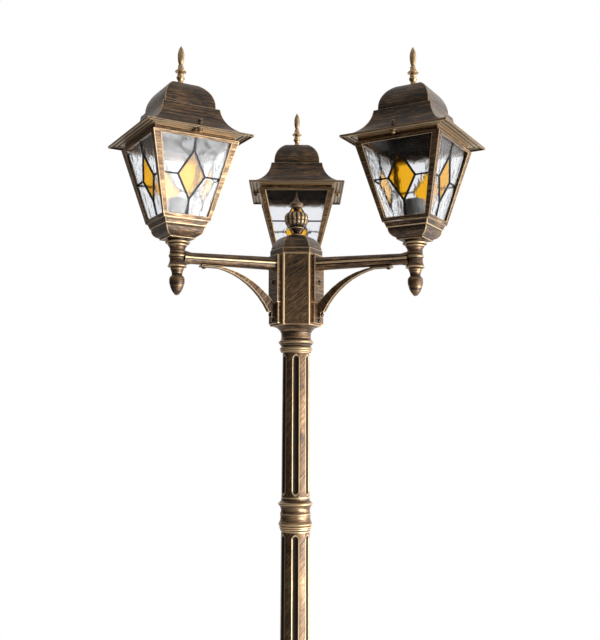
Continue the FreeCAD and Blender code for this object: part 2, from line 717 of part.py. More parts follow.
def roof():
    """Thin cast roof: lipped eave, flare, step and dome with mitred hips, and a boss over each thumb screw."""
    foot = roof_seat
    step = foot + step_rise
    shoulder = step + step_height
    crown = shoulder + dome_height
    lip_low = foot - eave_lip_drop
    outside = [(0, lip_low), (eave_half, lip_low), (eave_half, lip_low + eave_lip_height),
               (flare_half, foot + flare_rise), (step_half, step, -6.4), (step_half, shoulder),
               (dome_half, shoulder), (dome_top_half, crown, 7.4), (0, crown)]
    lip_inner = eave_half - eave_lip_wall
    throat = flare_half - 12
    inside = [(0, foot), (throat, foot), (throat - 2, foot + 5),
              (step_half - roof_wall - 1, step - 2, -5.4), (dome_half - roof_wall, step),
              (dome_half - roof_wall - 0.4, shoulder), (dome_top_half - 1, crown - roof_wall, 6.6),
              (0, crown - roof_wall)]
    shell = vaulted(outside, 2 * eave_half, 4)
    shell = shell.cut(vaulted(inside, 2 * eave_half, 4))
    shell = shell.cut(box(-lip_inner, lip_inner, -lip_inner, lip_inner, lip_low - 1, foot))
    boss = cylinder(roof_boss_radius, foot + 1, foot + roof_boss_height - 1.2, 0, thumb_screw_offset)
    boss = boss.fuse(Part.makeCone(roof_boss_radius, roof_boss_radius - 1.2, 1.2,
                                   V(0, thumb_screw_offset, foot + roof_boss_height - 1.2)))
    hole = cylinder(thumb_screw_radius + running_clearance, foot - 1, foot + thumb_screw_length - 1,
                    0, thumb_screw_offset)
    shell = fused([shell] + around(boss, 2))
    for hole_copy in around(hole, 2):
        shell = shell.cut(hole_copy)
    return shell.cut(cylinder(roof_rod_hole_radius + thread_clearance, crown - 10, crown + 1))


def roof_finial():
    """Turned spear on the roof: cone, two rings, drooping skirt and bud, with a stud into the crown."""
    base = roof_seat + step_rise + step_height + dome_height
    neck = 40.0
    tip = neck + roof_spear_height
    profile = [(0, 0), (9, 0), (8.6, 1.6), (5, 12, -1.6), (6.6, 15), (7.2, 17, 0.5), (6.4, 19.4, 0.5),
               (4.9, 20), (5.8, 22.4, 0.5), (4.2, 25, 0.5), (4.2, 26.5), (9.9, 27.6), (9.9, 28.8),
               (5, 37.5, -1.6), (4.9, 38.8), (3.7, neck), (3.9, neck + 2), (5.7, neck + 14, 0.6),
               (0.6, tip - 0.3, 1.8), (0.3, tip), (0, tip)]
    finial = turned(profile)
    finial.translate(V(0, 0, base))
    return fused([finial, cylinder(roof_rod_hole_radius, base - roof_wall - 4, base + 1)])


def thumb_screw(side):
    """Knurled-head screw up through the cage's lug into the roof's boss."""
    seat = roof_seat - running_clearance - lug_thickness
    low = seat - thumb_screw_head_height
    head = turned([(0, low), (thumb_screw_head_radius - 0.6, low), (thumb_screw_head_radius, low + 0.8),
                   (thumb_screw_head_radius, seat - 0.5), (thumb_screw_head_radius - 0.5, seat), (0, seat)])
    shank = cylinder(thumb_screw_radius, seat - 1, seat + thumb_screw_length)
    screw = fused([head, shank])
    screw.translate(V(0, side * thumb_screw_offset, 0))
    return screw


def holder_base():
    return tray_base + tray_wall + bolt_head_height


def shell_top():
    return holder_base() + holder_height - shell_recess


def lampholder():
    """Insulating body of the lampholder, open above, with a cable hole below."""
    low = holder_base()
    high = low + holder_height
    body = turned([(0, low), (holder_radius - 4, low), (holder_radius - 4, low + 6), (holder_radius, low + 10),
                   (holder_radius, high - 1.5), (holder_radius - 1.5, high, 0.4), (0, high)])
    pocket = shell_top() - shell_length - 3 * contact_thickness
    body = body.cut(cylinder(shell_radius + shell_wall + thread_clearance / 3, pocket, high + 1))
    return body.cut(cylinder(bolt_bore_radius, low - 1, pocket + 1, 0, 0))


def screw_shell():
    """Threaded brass shell that takes the lamp's cap; its thread is left plain."""
    high = shell_top()
    low = high - shell_length
    return cylinder(shell_radius + shell_wall, low, high).cut(cylinder(shell_radius, low - 1, high + 1))


def contact():
    """Centre contact: a brass disc with a raised button on the floor of the pocket."""
    low = shell_top() - shell_length - 3 * contact_thickness
    disc = cylinder(contact_radius, low, low + contact_thickness)
    button = Part.makeCone(contact_radius / 2, contact_radius / 3, 2 * contact_thickness, V(0, 0, low))
    return fused([disc, button])


# ---------------------------------------------------------------- output

def save(name, shape):
    shape.exportStep(os.path.join("parts", name + ".step"))


def save_post():
    save("foot_casting", foot_casting())
    save("lower_pole", fluted_pole(lower_pole_length, lower_pole_bottom_radius, lower_pole_top_radius,
                                   lower_pole_base))
    save("collar", collar())
    save("upper_pole", fluted_pole(upper_pole_length, upper_pole_bottom_radius, upper_pole_top_radius,
                                   upper_pole_base))
    save("hub_body", hub_body())
    save("hub_cap", hub_cap())
    save("hub_finial", hub_finial())
    save("hub_rod", hub_rod())
    save("terminal_block", terminal_block())
    save("arm_screws", arm_screws())


def save_lamps():
    clear_panes, amber_panes, came = glazing()
    arm_pieces = {"arm": arm(), "brace": brace()}
    lantern_pieces = {"acorn_nut": acorn_nut(), "hollow_bolt": hollow_bolt(), "tray": tray(), "cage": cage(),
                      "clear_panes": clear_panes, "amber_panes": amber_panes, "came": came,
                      "lampholder": lampholder(), "screw_shell": screw_shell(), "contact": contact(),
                      "roof": roof(), "roof_finial": roof_finial(),
                      "thumb_screw_a": thumb_screw(1), "thumb_screw_b": thumb_screw(-1)}
    for shape in lantern_pieces.values():
        shape.translate(V(arm_reach, 0, lamp_seat_z))
    for place, angle in arm_angles.items():
        for name, shape in {**arm_pieces, **lantern_pieces}.items():
            save(place + "_" + name, turned_about_z(shape, angle))


if __name__ == "__main__":
    os.makedirs("parts", exist_ok=True)
    save_post()
    save_lamps()
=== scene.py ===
"""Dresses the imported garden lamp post: castings, leaded glass, finishes, studio and camera."""
import math
import bmesh
import bpy
import numpy as np
from mathutils import Matrix, Vector


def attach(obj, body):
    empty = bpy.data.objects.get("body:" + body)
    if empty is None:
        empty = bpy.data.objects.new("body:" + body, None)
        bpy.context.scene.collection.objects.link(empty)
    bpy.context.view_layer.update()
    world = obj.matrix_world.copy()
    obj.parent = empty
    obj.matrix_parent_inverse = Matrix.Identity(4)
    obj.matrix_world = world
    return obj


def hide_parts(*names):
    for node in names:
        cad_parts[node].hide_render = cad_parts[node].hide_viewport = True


bl_info = {
    "name": "Triple head lamp post",
    "version": (1, 0, 0),
    "blender": (4, 5, 0),
    "location": "View3D > Sidebar > Lamp post",
    "description": "Builds the visible castings, glass and finishes of a garden lamp post",
    "category": "Object",
}

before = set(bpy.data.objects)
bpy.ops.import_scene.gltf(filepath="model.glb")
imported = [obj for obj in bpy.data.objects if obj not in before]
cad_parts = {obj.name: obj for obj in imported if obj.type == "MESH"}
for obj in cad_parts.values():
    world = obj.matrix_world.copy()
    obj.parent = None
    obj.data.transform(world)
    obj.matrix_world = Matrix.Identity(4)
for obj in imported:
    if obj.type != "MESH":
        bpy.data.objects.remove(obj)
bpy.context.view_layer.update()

# Where each arm points, in degrees from +X.
ARM_ANGLES = {"left": 210.0, "right": 330.0, "rear": 90.0}

# Heights above the ground, lengths and reaches, in millimetres.
LOWER_POLE_BASE = 330.0
LOWER_POLE_LENGTH = 1093.0
COLLAR_BASE = LOWER_POLE_BASE + LOWER_POLE_LENGTH
COLLAR_HEIGHT = 58.0
UPPER_POLE_BASE = COLLAR_BASE + COLLAR_HEIGHT
UPPER_POLE_LENGTH = 256.0
NECK_BASE = UPPER_POLE_BASE + UPPER_POLE_LENGTH
NECK_HEIGHT = 47.0
HUB_BASE = NECK_BASE + NECK_HEIGHT
HUB_HEIGHT = 128.0
HUB_APOTHEM = 39.84
HUB_WALL = 4.0
HUB_INSIDE = HUB_APOTHEM - HUB_WALL
BEAD_RING = 44.9
CAP_BASE = HUB_BASE + HUB_HEIGHT
CAP_HEIGHT = 37.0
HUB_FINIAL_BASE = CAP_BASE + CAP_HEIGHT
ARM_PLATE = 8.0
BRACE_PLATE = 7.0
ARM_ROOT_HEIGHT = 1894.5
ARM_FALL = 6.0
ARM_REACH = 232.0
WEB_HALF = 4.5
TAB_HALF = 7.5
LAMP_SEAT = 1912.0

# The lanterns, from the seat up and from their own axis out.
CAGE_LOW = 35.5
CAGE_LOW_HALF = 41.9
CAGE_HIGH = 169.0
CAGE_HIGH_HALF = 76.6
LUG_LOW = 174.7
LUG_HIGH = 177.7
SCREW_REACH = 86.0
ROOF_FINIAL_BASE = 273.8


# ---------------------------------------------------------------- surfaces

def arc(start, end, bow):
    """Circle through two stops that rises by bow to the right of travel.

    The point at angle t is middle + along R sin t + side (R cos t - R + rise).
    """
    run = end - start
    chord = np.hypot(*run)
    rise = abs(bow)
    radius = (chord ** 2 / 4 + rise ** 2) / (2 * rise)
    half = math.asin(min(1.0, chord / 2 / radius))
    angle = np.linspace(-half, half, max(5, int(half * 16) + 2))[1:, None]
    along = run / chord
    side = np.array([along[1], -along[0]]) * math.copysign(1, bow)
    middle = (start + end) / 2
    return middle + along * radius * np.sin(angle) + side * (radius * np.cos(angle) - radius + rise)


def polyline(stops):
    """Points through outline stops; a third value of a stop bows the stretch that arrives there."""
    pieces = [np.array([stops[0][:2]], float)]
    for here, there in zip(stops, stops[1:]):
        start = np.array(here[:2], float)
        end = np.array(there[:2], float)
        bowed = len(there) > 2 and there[2]
        pieces.append(arc(start, end, there[2]) if bowed else end[None])
    return np.concatenate(pieces)


def softened(line, closed, soft, reach):
    """Rounds the sharp corners of a polyline and says how worn each point is.

    A corner becomes a point a reach before, one a soft before, the middle of the quadratic between the
    soft points, and the same again after. Wear is 1 on an outward corner and -1 in an inward one, falls
    to 0 at the reach, and elsewhere follows the turn per millimetre. The last result is the index of the
    polyline point that each point comes from.
    """
    back = np.roll(line, 1, 0) - line
    ahead = np.roll(line, -1, 0) - line
    back_run = np.maximum(np.hypot(*back.T), 1e-6)[:, None]
    ahead_run = np.maximum(np.hypot(*ahead.T), 1e-6)[:, None]
    back = back / back_run
    ahead = ahead / ahead_run
    cross = -back[:, 0] * ahead[:, 1] + back[:, 1] * ahead[:, 0]
    straight = -(back * ahead).sum(1)
    corner = straight < math.cos(math.radians(22))
    bend = np.arctan2(cross, straight) / (0.5 * (back_run + ahead_run)[:, 0])
    if not closed:
        corner[[0, -1]] = False
        bend[[0, -1]] = 0
    far_back = np.minimum(reach, 0.45 * back_run)
    far_ahead = np.minimum(reach, 0.45 * ahead_run)
    near = np.minimum(soft, 0.6 * np.minimum(far_back, far_ahead))
    steps = np.stack([line + back * far_back, line + back * near, line + (back + ahead) * near / 4,
                      line + ahead * near, line + ahead * far_ahead], 1)
    sign = np.sign(cross)[:, None]
    wear_and_painted_light = sign * np.array([[0.0, 1.0, 1.0, 1.0, 0.0]])
    plain = np.clip(bend * 1.5, -0.8, 0.8)
    keep = np.repeat(corner[:, None], 5, 1)
    keep[:, 2] = True
    steps[~corner, 2] = line[~corner]
    wear_and_painted_light[~corner, 2] = plain[~corner]
    return steps[keep], wear_and_painted_light[keep], np.repeat(np.arange(len(line))[:, None], 5, 1)[keep]


def grid_faces(rows, columns, wrap_rows=False):
    """Quads of a grid whose rows run up the outside and whose columns run anticlockwise round it."""
    row = np.arange(rows if wrap_rows else rows - 1)[:, None]
    column = np.arange(columns)[None]
    above = (row + 1) % rows
    beside = (column + 1) % columns
    corners = [row * columns + column, row * columns + beside,
               above * columns + beside, above * columns + column]
    return np.stack(corners, -1).reshape(-1, 4)


def about_z(points, degrees):
    """Points turned about the vertical axis."""
    angle = math.radians(degrees)
    cos = math.cos(angle)
    sin = math.sin(angle)
    return points @ np.array([[cos, -sin, 0], [sin, cos, 0], [0, 0, 1]]).T


def strokes_of(along_x, along_y, along_z):
    """Brush coordinates with so many millimetres to a unit along each axis."""
    return lambda points: points / np.array([along_x, along_y, along_z])


level_strokes = strokes_of(26.0, 26.0, 1.7)
short_strokes = strokes_of(22.0, 22.0, 2.0)
standing_strokes = strokes_of(1.9, 1.9, 26.0)
lengthwise_strokes = strokes_of(26.0, 1.7, 1.7)


def climbing(across, up, degrees):
    """Coordinates along and over strokes that climb at an angle."""
    cos = math.cos(math.radians(degrees))
    sin = math.sin(math.radians(degrees))
    return across * cos + up * sin, up * cos - across * sin


def slanting_strokes(points):
    """Brush coordinates for strokes that climb at 35 degrees across each face of the hub.

    The third coordinate steps by 3.7 from face to face, so that no two faces have the same strokes.
    """
    angle = np.arctan2(points[:, 1], points[:, 0])
    face = np.floor(angle / math.radians(60))
    across = np.hypot(points[:, 0], points[:, 1]) * np.sin(angle - (face + 0.5) * math.radians(60))
    along, over = climbing(across, points[:, 2], 35)
    return np.stack([along / 16, over / 1.5, face * 3.7], 1)


def coiling_strokes(points):
    """Brush coordinates for strokes that climb at 48 degrees round a shaft of about 27 mm."""
    around = np.arctan2(points[:, 1], points[:, 0]) * 27
    along, over = climbing(around, points[:, 2], 48)
    return np.stack([along / 16, over / 1.5, 0 * along], 1)


def web_strokes(points):
    """Brush coordinates for strokes that fall away from the hub at 50 degrees down the web."""
    along, over = climbing(points[:, 0], points[:, 2], -50)
    return np.stack([along / 26, over / 1.4, points[:, 1] / 1.7], 1)


class Piece:
    """Surfaces of one casting, in millimetres, with wear (on the roofs also painted shade and highlight) and
    brush coordinates at every point.
    """

    def __init__(self):
        self.points = []
        self.faces = []
        self.wear_and_painted_light = []
        self.strokes = []
        self.count = 0

    def add(self, points, faces, wear_and_painted_light, strokes=level_strokes):
        """Adds points with the faces between them, how worn they are or how painted with light and shade, and
        where on the brush they lie.
        """
        flat = points.reshape(-1, 3)
        self.points.append(flat)
        self.wear_and_painted_light.append(np.clip(np.broadcast_to(wear_and_painted_light, points.shape[:-1]).reshape(-1), -1, 1))
        self.strokes.append(strokes(flat))
        self.faces += [tuple(face) for face in (np.asarray(faces) + self.count).tolist()]
        self.count += len(flat)
        return self

    def cap(self, ring):
        """One flat face over a ring of points already added, counted from the last surface's end."""
        self.faces.append(tuple(int(self.count + index) for index in ring))

    def make(self, name, body, node, slot, finish, azimuth=0.0, along=0.0, up=0.0, crease=50):
        """Mesh at the origin: points moved out along the arm and up, turned by its azimuth, in metres."""
        points = about_z(np.concatenate(self.points) + np.array([along, 0.0, up]), azimuth)
        mesh = bpy.data.meshes.new(name)
        mesh.from_pydata((points / 1000).tolist(), [], self.faces)
        wear_and_painted_light = mesh.attributes.new("wear_and_painted_light", "FLOAT", "POINT")
        wear_and_painted_light.data.foreach_set("value", np.concatenate(self.wear_and_painted_light).astype(np.float32))
        strokes = mesh.attributes.new("strokes", "FLOAT_VECTOR", "POINT")
        strokes.data.foreach_set("vector", np.concatenate(self.strokes).astype(np.float32).ravel())
        shell = bmesh.new()
        shell.from_mesh(mesh)
        bmesh.ops.remove_doubles(shell, verts=shell.verts, dist=2e-6)
        bmesh.ops.dissolve_degenerate(shell, edges=shell.edges, dist=1e-7)
        shell.to_mesh(mesh)
        shell.free()
        mesh.shade_smooth()
        mesh.set_sharp_from_angle(angle=math.radians(crease))
        made = bpy.data.objects.new(name, mesh)
        bpy.context.scene.collection.objects.link(made)
        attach(made, body)
        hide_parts(node)
        mesh.materials.append(finish)


def turned(piece, stops, count=72, closed=False, relief=None, soft=0.5, reach=1.6, centre=(0.0, 0.0),
           base=0.0, strokes=level_strokes):
    """Surface of revolution: (r cos a, r sin a, z) over the softened outline, r changed by a relief."""
    line, wear_and_painted_light, _ = softened(polyline(stops), closed, soft, reach)
    angle = np.linspace(0, 2 * math.pi, count, endpoint=False)[None]
    radius = line[:, :1] + 0 * angle
    height = line[:, 1:] + 0 * angle
    worn = wear_and_painted_light[:, None] + 0 * angle
    if relief:
        radius, extra = relief(radius, height, angle)
        worn = worn + extra
    points = np.stack([centre[0] + radius * np.cos(angle), centre[1] + radius * np.sin(angle),
                       base + height], -1)
    return piece.add(points, grid_faces(len(line), count, closed), worn, strokes)


def mitred(piece, stops, sides=4, turn=0.0, closed=True, soft=0.6, reach=2.2, base=0.0,
           strokes=level_strokes, painted_shade_and_highlight=False):
    """Polygon-plan surface: on side k the point is normal_k a + edge_k s, a the outline's apothem.

    Along a side s runs between the mitres and stops a soft short of each, where a middle point of the
    quadratic rounds the hip. Hips are worn like outward corners where the surface faces out. When the flag is
    set, the faces that look inward are painted black as painted shade inside the roof, and those that look
    down are painted gold as a painted highlight under the eaves.
    """
    line, wear_and_painted_light, _ = softened(polyline(stops), closed, soft, reach)
    tangent = np.gradient(line, axis=0)
    outward = tangent[:, 1] / np.maximum(np.hypot(*tangent.T), 1e-9)
    if painted_shade_and_highlight:
        # Painted shade: faces that look inward, inside the roof, are painted black.
        wear_and_painted_light = np.where(outward < -0.2, -1.0, wear_and_painted_light)
        # Painted highlight: faces that look down, under the eaves, are painted gold where the bright
        # reflection falls.
        lit_underside = tangent[:, 0] > 0.8 * np.hypot(*tangent.T)
        wear_and_painted_light = np.where(lit_underside & (wear_and_painted_light > -0.5), 1.0, wear_and_painted_light)
    apothem = np.maximum(line[:, 0], 0.0)[:, None]
    half = apothem * math.tan(math.pi / sides)
    near = np.minimum(soft, 0.2 * half)
    far = np.minimum(reach, 0.6 * half)
    spans = np.concatenate([near - half, far - half, -0.4 * half, 0.4 * half, half - far, half - near,
                            half], 1)
    hip = np.array([1.0, 0.0, 0.0, 0.0, 0.0, 1.0, 1.0])[None]
    rings = []
    worn = []
    for side in range(sides):
        angle = math.radians(turn) + 2 * math.pi * side / sides
        after = angle + 2 * math.pi / sides
        normal = np.array([math.cos(angle), math.sin(angle)])
        edge = np.array([-math.sin(angle), math.cos(angle)])
        next_edge = np.array([-math.sin(after), math.cos(after)])
        plan = apothem[:, :, None] * normal + spans[:, :, None] * edge
        plan[:, 6] += (next_edge - edge) * near / 4
        rings.append(plan)
        worn.append(wear_and_painted_light[:, None] + hip * np.clip(outward * 2, -1, 1)[:, None])
    plan = np.concatenate(rings, 1)
    height = np.broadcast_to(line[:, 1:, None], plan.shape[:2] + (1,)) + base
    points = np.concatenate([plan, height], 2)
    faces = grid_faces(len(line), points.shape[1], closed)
    return piece.add(points, faces, np.concatenate(worn, 1), strokes)


def slab(piece, stops, low, high, place, soft=0.5, reach=1.5, strokes=level_strokes):
    """Plate with softened edges: a soft band round both faces, then the outline drawn in, capped.

    place(u, v, w) gives the point for outline coordinates u, v and depth w. A corner is drawn in along
    both normals, by reach (n1 + n2) / (1 + n1 . n2).
    """
    reach = min(reach, 0.45 * (high - low))
    soft = min(soft, 0.5 * reach)
    corners = polyline(stops)[:-1]
    line, wear_and_painted_light, source = softened(corners, True, soft, reach)
    along = np.roll(corners, -1, 0) - corners
    along = along / np.hypot(*along.T)[:, None]
    normal = np.stack([-along[:, 1], along[:, 0]], 1)
    before = np.roll(normal, 1, 0)
    drawn_in = corners + reach * (normal + before) / (1 + (normal * before).sum(1, keepdims=True))
    tangent = np.roll(line, -1, 0) - np.roll(line, 1, 0)
    tangent = tangent / np.maximum(np.hypot(*tangent.T), 1e-9)[:, None]
    edge_in = line + 0.3 * soft * np.stack([-tangent[:, 1], tangent[:, 0]], 1)
    inner = drawn_in[source]
    plan = np.stack([inner, edge_in, line, line, line, line, edge_in, inner])
    depth = np.array([low, low, low + soft, low + reach, high - reach, high - soft, high, high])
    edge = np.array([0.0, 1.0, 1.0, 0.0, 0.0, 1.0, 1.0, 0.0])
    rows = np.broadcast_to(depth[:, None], plan.shape[:2])
    points = place(plan[..., 0], plan[..., 1], rows)
    worn = edge[:, None] + wear_and_painted_light[None] * np.array([0, 1, 1, 1, 1, 1, 1, 0])[:, None]
    piece.add(points, grid_faces(8, len(line)), worn, strokes)
    count = len(line)
    piece.cap(range(-7 * count - 1, -8 * count - 1, -1))
    piece.cap(range(-count, 0))
    return piece


# ---------------------------------------------------------------- pieces of the post

def shaft(piece, base, length, low_radius, high_radius, bore=19.5, width=12.0, depth=2.2, margin=12.0,
          flutes=6):
    """Tapered fluted tube: the radius is the taper less the cut of a ball of radius B run along each flute.

    At a distance q from the ball's path the cut is depth - B + sqrt(B^2 - q^2). The flutes' rims are worn
    and their hollows dark.
    """
    ball = (width ** 2 / 4 + depth ** 2) / (2 * depth)
    half = width / 2
    ends = np.array([0.0, 0.5, 2.0, margin - half, *np.linspace(margin - half, margin, 9)[1:], margin + 2])
    middle = np.linspace(margin + 2, length - margin - 2, max(3, int(length / 40)))[1:-1]
    height = np.concatenate([ends, middle, length - ends[::-1]])[:, None]
    taper = low_radius + (high_radius - low_radius) * height / length
    inside = np.linspace(-half, half, 15)
    rim = np.array([half + 0.5, half + 1.4])
    spacing = 2 * math.pi / flutes
    land = np.linspace(0.0, 1.0, 6)[1:-1]
    columns = []
    worn = []
    over = np.maximum(0, np.maximum(margin - height, height - (length - margin)))
    for flute in range(flutes):
        middle_angle = spacing * flute - math.pi / 2
        near = np.concatenate([-rim[::-1], inside, rim])[None]
        off = near / taper
        gap_start = rim[-1] / taper
        off = np.concatenate([off, gap_start + (spacing - 2 * gap_start) * land[None]], 1)
        across = np.concatenate([np.broadcast_to(near, (len(height), near.shape[1])),
                                 np.full((len(height), len(land)), width)], 1)
        reach = np.minimum(across ** 2 + over ** 2, ball ** 2)
        cut = np.maximum(0, depth - ball + np.sqrt(ball ** 2 - reach))
        columns.append(np.stack([taper - cut, middle_angle + off], -1))
        edge = np.exp(-((np.sqrt(across ** 2 + over ** 2) - half) / 0.8) ** 2)
        worn.append(edge - 0.9 * (cut > 0.4 * depth))
    polar = np.concatenate(columns, 1)
    wear_and_painted_light = np.concatenate(worn, 1)
    wear_and_painted_light[[0, 1, -2, -1]] = 1.0
    outer = np.stack([polar[..., 0] * np.cos(polar[..., 1]), polar[..., 0] * np.sin(polar[..., 1]),
                      height + 0 * polar[..., 0]], -1)
    hole = outer[[-1, 0]].copy()
    hole[..., :2] *= bore / np.linalg.norm(hole[..., :2], axis=-1, keepdims=True)
    points = np.concatenate([outer, hole]) + np.array([0, 0, base])
    wear_and_painted_light = np.concatenate([wear_and_painted_light, 0 * wear_and_painted_light[:2] - 1])
    return piece.add(points, grid_faces(len(points), points.shape[1], True), wear_and_painted_light, coiling_strokes)


def arm_tube(piece):
    """Tube along +X: radius R(x), or the far side of a bead that is sunk a little into each flank.

    In polar terms a bead of radius b reaches c cos t + sqrt(b^2 - c^2 sin^2 t), where c = R - sunk is the
    radius its centre lies at and t is the angle from the flank.
    """
    bead_radius = 1.9
    sunk = 0.6
    x = np.array([41.0, 44.0, 48.0, 49.5, 50.5, 70.0, 110.0, 150.0, 190.0, 205.8, 208.0, 214.0, 219.0, 223.0])
    root = HUB_APOTHEM + ARM_PLATE
    share = (x - root) / (ARM_REACH - root)
    radius = 12.0 - 2.5 * share
    radius = np.where(x < 50, np.interp(x, [41.0, 49.8], [15.0, 12.0]), radius)
    radius = np.where(x > 205.8, np.interp(x, [205.8, 223.0], [9.7, 13.4]), radius)[:, None]
    fine = np.radians([-16, -12, -9, -6, -3, 0, 3, 6, 9, 12, 16])
    arch = np.radians(np.linspace(24, 156, 12))
    angle = np.concatenate([fine, arch, fine + math.pi, arch + math.pi])[None]
    centre = radius - sunk
    flank = np.minimum(np.abs(np.mod(angle + math.pi / 2, math.pi) - math.pi / 2), 1.0)
    inside = bead_radius ** 2 - (centre * np.sin(flank)) ** 2
    bead = centre * np.cos(flank) + np.sqrt(np.maximum(inside, 0))
    reach = np.where(inside > 0, np.maximum(radius, bead), radius)
    height = (ARM_ROOT_HEIGHT - ARM_FALL * share)[:, None]
    points = np.stack([x[:, None] + 0 * reach, reach * np.cos(angle), height + reach * np.sin(angle)], -1)
    proud = np.where(reach > radius + sunk, 1.0, 0.0)
    beside = np.where(np.abs(flank - math.radians(14)) < 0.08, 0.8, 0.0)
    return piece.add(points, grid_faces(len(x), angle.shape[1]), proud - beside, lengthwise_strokes)


def upright(u, v, w):
    """Outline across and up, depth along the arm."""
    return np.stack([w, u, v], -1)


def sideways(u, v, w):
    """Outline along the arm and up, depth across it."""
    return np.stack([u, -w, v], -1)


def rectangle(u_low, u_high, v_low, v_high):
    """Closed outline of a rectangle."""
    return [(u_low, v_low), (u_high, v_low), (u_high, v_high), (u_low, v_high), (u_low, v_low)]


# Outlines: radius or half-width and height, or across and up, in millimetres; a third value is a bow.
EYE = [(0, -40), (16.3, -40), (16.3, -38.4), (13.2, -24, -1.4), (14.1, -23), (14.1, -19, 0.7), (13.2, -18),
       (13.2, -13), (15.9, -4, -1.2), (15.9, -1.2, 0.5), (14.7, 0), (0, 0)]
ACORN = [(0, -88), (0.6, -88), (3.4, -86.8, 0.3), (11.7, -71, 1.3), (12.9, -62, 0.6), (9.3, -55, 1.3),
         (8.7, -52), (10.0, -46.5), (10.8, -45), (10.8, -41, 0.6), (10.0, -40), (0, -40)]
TRAY = [(0, 7), (23.7, 7), (23.7, 9.4), (24.9, 10.4), (34.9, 23.5, 2.4), (34.9, 25.5), (36.6, 26.5),
        (39.0, 33.5), (40.6, 35.5), (34.6, 35.5), (31.9, 23.5), (22.1, 10, -1.8), (0, 10)]
TRAY_FOOT = [(0, 0), (19.7, 0), (20.7, 1, 0.3), (20.7, 3, 0.4), (17.1, 4.2), (17.1, 8), (0, 8)]
NECK = [(76.2, 167.5), (76.6, 169), (72, 169), (72, 178), (69, 178), (69, 167.5)]
ROOF = [(95, 175.7), (95, 176.9), (94.2, 177.2), (94.2, 177.8), (95, 178.1), (95, 179.5), (82, 183.2),
        (52, 226, -6.4), (52, 227.8), (46, 227.8), (23, 273.8, 7.4), (2.8, 273.8), (2.8, 271.2),
        (22, 271.2), (43, 227.8, -6.6), (43.4, 226), (48.4, 224), (68, 183, 5.4), (70, 178), (79, 178),
        (79.4, 179.2), (81.6, 179.2), (82, 178), (86, 178), (86.4, 179.2), (88.6, 179.2), (89, 178),
        (92.8, 178), (92.8, 175.7)]
SCREW_BOSS = [(3.7, 180), (3.7, 191.8), (2.5, 193), (0, 193)]
ROOF_FINIAL = [(0, 0), (9, 0), (8.6, 1.6), (5, 12, -1.6), (6.6, 15), (7.2, 17, 0.5), (6.4, 19.4, 0.5),
               (4.9, 20), (5.8, 22.4, 0.5), (4.2, 25, 0.5), (4.2, 26.5), (9.9, 27.6), (9.9, 28.8),
               (5, 37.5, -1.6), (4.9, 38.8), (3.7, 40), (3.9, 42), (5.7, 54, 0.6), (0.6, 74.2, 1.8),
               (0.3, 74.5), (0, 74.5)]
HUB_NECK = [(0, 0), (26.0, 0), (28.0, 4, 1.2), (28.0, 9, 1.4), (26.6, 11), (27.6, 13), (29.6, 15.5),
            (29.6, 21, 1.8), (27.3, 23), (27.3, 36, -0.6), (28.6, 38), (41, 47, -1.6), (0, 47)]
HUB_BOX = [(0, 0), (HUB_APOTHEM, 0), (HUB_APOTHEM, HUB_HEIGHT), (HUB_INSIDE, HUB_HEIGHT), (HUB_INSIDE, 5),
           (0, 5)]
CORNER_BEAD = [(0, 0), (1.9, 0), (2.3, 0.5), (2.3, 127.4), (1.9, 127.9), (0, 127.9)]
HUB_CAP = [(41.34, 0), (41.34, 10), (39.94, 11.2), (13, 37, 7.2), (3.3, 37), (3.3, 33.5), (12, 33.5),
           (HUB_INSIDE, 10, -6.4), (HUB_INSIDE, 0)]
HUB_FINIAL = [(0, 0), (11, 0), (11, 3.5, 0.8), (6.5, 6), (6.5, 9, -0.6), (12.5, 14), (12.5, 16, 0.8),
              (7.5, 18), (7.5, 19), (21, 29, 5.2), (8, 44, 6.6), (5.8, 48), (6.2, 51, -0.5), (8.6, 53),
              (11.6, 57, 1.2), (10.6, 62, 0.8), (4.2, 68, -1.6), (0.6, 81, -0.5), (0, 81)]
COLLAR = [(12, 0), (25.6, 0), (27.4, 4), (27.4, 6), (27.4, 9, 1.5), (29.0, 10.5), (29.6, 14, 0.8),
          (27.4, 30, -2), (29.0, 45, -2.5), (29.0, 50, 1.6), (26.8, 52), (25.4, 56, -0.8), (25.4, 58),
          (12, 58)]
HOLDER = [(3, 15), (15, 15), (15, 21), (19, 25), (19, 75.5), (17.5, 77, 0.4), (14.2, 77), (14.2, 40.4),
          (3, 40.4)]
THREAD_HEIGHTS = np.linspace(44, 73, 80)
THREAD = [(13.75, z) for z in THREAD_HEIGHTS[::-1]] + [(14.05, z) for z in THREAD_HEIGHTS]
SCREW_HEAD = [(0, 169.7), (2.6, 169.7), (3.2, 170.5), (3.2, 174.2), (2.7, 174.7), (2.0, 174.7),
              (2.0, 186.2), (1.5, 186.7), (0, 186.7)]
ARM_FACE = rectangle(-17, 17, 1824, 1910)
BRACE_FOOT = rectangle(-17, 17, 1786.7, 1823.7)
WEB = [(40.84, 1797.7), (52.84, 1797.7), (52.84, 1807.1), (58.04, 1807.1), (158, 1876.86, -14.3),
       (189, 1876.27), (189, 1879.47), (158, 1880.06), (48.14, 1823.7, 12.5), (40.84, 1823.7),
       (40.84, 1797.7)]
TAB = [(150, 1877.01), (189, 1876.27), (189, 1879.47), (150, 1880.21), (150, 1877.01)]
LUG = [(-6.5, 71), (6.5, 71), (6.5, 86), (4.9, 86), (-4.9, 86, 4.9), (-6.5, 86), (-6.5, 71)]


